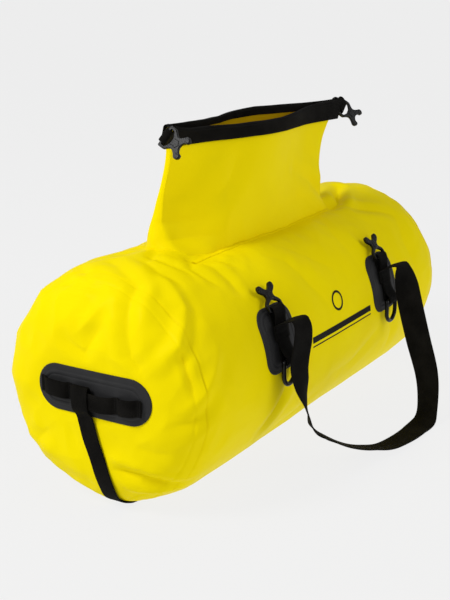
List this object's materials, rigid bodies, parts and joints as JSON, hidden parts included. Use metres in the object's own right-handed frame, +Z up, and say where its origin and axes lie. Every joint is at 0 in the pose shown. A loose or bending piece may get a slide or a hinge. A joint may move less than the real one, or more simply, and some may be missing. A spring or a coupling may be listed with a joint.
{
  "type": "roll-top dry duffel bag",
  "caption": "Waterproof tarpaulin duffel bag with an upright roll-top neck, webbing mouth with end buckles, side carry handles, D-rings and looped end patches.",
  "frame": {"origin": "middle of the bag's bounding box, on the floor it rests on", "axes": "+X along the bag towards the right end, -Y towards the front, +Z up"},
  "size_m": [0.8382, 0.5458, 0.4848],
  "materials": {
    "tarpaulin": "semi-gloss PVC-coated polyester, bright yellow",
    "webbing": "matt black woven polyester webbing",
    "patch": "satin dark grey moulded reinforcement",
    "buckle": "satin black moulded plastic",
    "stiffener": "plain grey plastic strip"
  },
  "bodies": {
    "bag": {"body_tube": "tarpaulin", "end_panel_left": "tarpaulin", "end_panel_right": "tarpaulin", "end_patch_left": "patch", "end_webbing_left": "webbing", "end_patch_right": "patch", "end_webbing_right": "webbing", "under_strap": "webbing", "front_patch_left": "patch", "front_webbing_left": "webbing", "front_patch_right": "patch", "front_webbing_right": "webbing", "back_patch_left": "patch", "back_webbing_left": "webbing", "back_patch_right": "patch", "back_webbing_right": "webbing"},
    "neck": {"neck_lower": "tarpaulin"},
    "mouth": {"neck_upper": "tarpaulin", "mouth_band_front": "webbing", "mouth_stiffener_front": "stiffener", "mouth_band_back": "webbing", "mouth_stiffener_back": "stiffener", "mouth_tab_left": "webbing", "mouth_tab_right": "webbing"},
    "mouth_buckle_left": {"mouth_buckle_left": "buckle"},
    "mouth_buckle_right": {"mouth_buckle_right": "buckle"},
    "front_buckle_left": {"front_buckle_left": "buckle"},
    "front_ring_left": {"front_ring_left": "buckle"},
    "front_buckle_right": {"front_buckle_right": "buckle"},
    "front_ring_right": {"front_ring_right": "buckle"},
    "front_handle": {"front_handle": "webbing"},
    "back_buckle_left": {"back_buckle_left": "buckle"},
    "back_ring_left": {"back_ring_left": "buckle"},
    "back_buckle_right": {"back_buckle_right": "buckle"},
    "back_ring_right": {"back_ring_right": "buckle"},
    "back_handle": {"back_handle": "webbing"}
  },
  "joints": [
    {"name": "neck_tilt", "type": "hinge", "parent": "bag", "child": "neck", "pos_m": [0, -0.05, 0.3105], "axis": [1, 0, 0], "range_deg": [0, 40]},
    {"name": "mouth_fold", "type": "hinge", "parent": "neck", "child": "mouth", "pos_m": [0, -0.0545, 0.392], "axis": [1, 0, 0], "range_deg": [0, 90]},
    {"name": "mouth_buckle_left_swing", "type": "hinge", "parent": "mouth", "child": "mouth_buckle_left", "pos_m": [-0.264, -0.031, 0.471], "axis": [-0.3995, 0.4494, -0.799], "range_deg": [-10, 100]},
    {"name": "mouth_buckle_right_swing", "type": "hinge", "parent": "mouth", "child": "mouth_buckle_right", "pos_m": [0.255, -0.024, 0.456], "axis": [-0.7071, 0, -0.7071], "range_deg": [-90, 45]},
    {"name": "front_buckle_left_swing", "type": "hinge", "parent": "bag", "child": "front_buckle_left", "pos_m": [-0.186, -0.14831, 0.24281], "axis": [1, 0, 0], "range_deg": [0, 60]},
    {"name": "front_buckle_right_swing", "type": "hinge", "parent": "bag", "child": "front_buckle_right", "pos_m": [0.148, -0.14831, 0.24281], "axis": [1, 0, 0], "range_deg": [0, 60]},
    {"name": "front_ring_left_swing", "type": "hinge", "parent": "bag", "child": "front_ring_left", "pos_m": [-0.186, -0.17012, 0.17575], "axis": [-1, 0, 0], "range_deg": [0, 18]},
    {"name": "front_ring_right_swing", "type": "hinge", "parent": "bag", "child": "front_ring_right", "pos_m": [0.148, -0.17012, 0.17575], "axis": [-1, 0, 0], "range_deg": [0, 18]},
    {"name": "front_handle_lift", "type": "hinge", "parent": "bag", "child": "front_handle", "pos_m": [0, -0.181, 0.233], "axis": [-1, 0, 0], "range_deg": [0, 120]},
    {"name": "back_buckle_left_swing", "type": "hinge", "parent": "bag", "child": "back_buckle_left", "pos_m": [-0.186, 0.14831, 0.24281], "axis": [-1, 0, 0], "range_deg": [0, 60]},
    {"name": "back_buckle_right_swing", "type": "hinge", "parent": "bag", "child": "back_buckle_right", "pos_m": [0.148, 0.14831, 0.24281], "axis": [-1, 0, 0], "range_deg": [0, 60]},
    {"name": "back_ring_left_swing", "type": "hinge", "parent": "bag", "child": "back_ring_left", "pos_m": [-0.186, 0.17012, 0.17575], "axis": [1, 0, 0], "range_deg": [0, 18]},
    {"name": "back_ring_right_swing", "type": "hinge", "parent": "bag", "child": "back_ring_right", "pos_m": [0.148, 0.17012, 0.17575], "axis": [1, 0, 0], "range_deg": [0, 18]},
    {"name": "back_handle_lift", "type": "hinge", "parent": "bag", "child": "back_handle", "pos_m": [0, 0.181, 0.233], "axis": [1, 0, 0], "range_deg": [0, 120]}
  ]
}
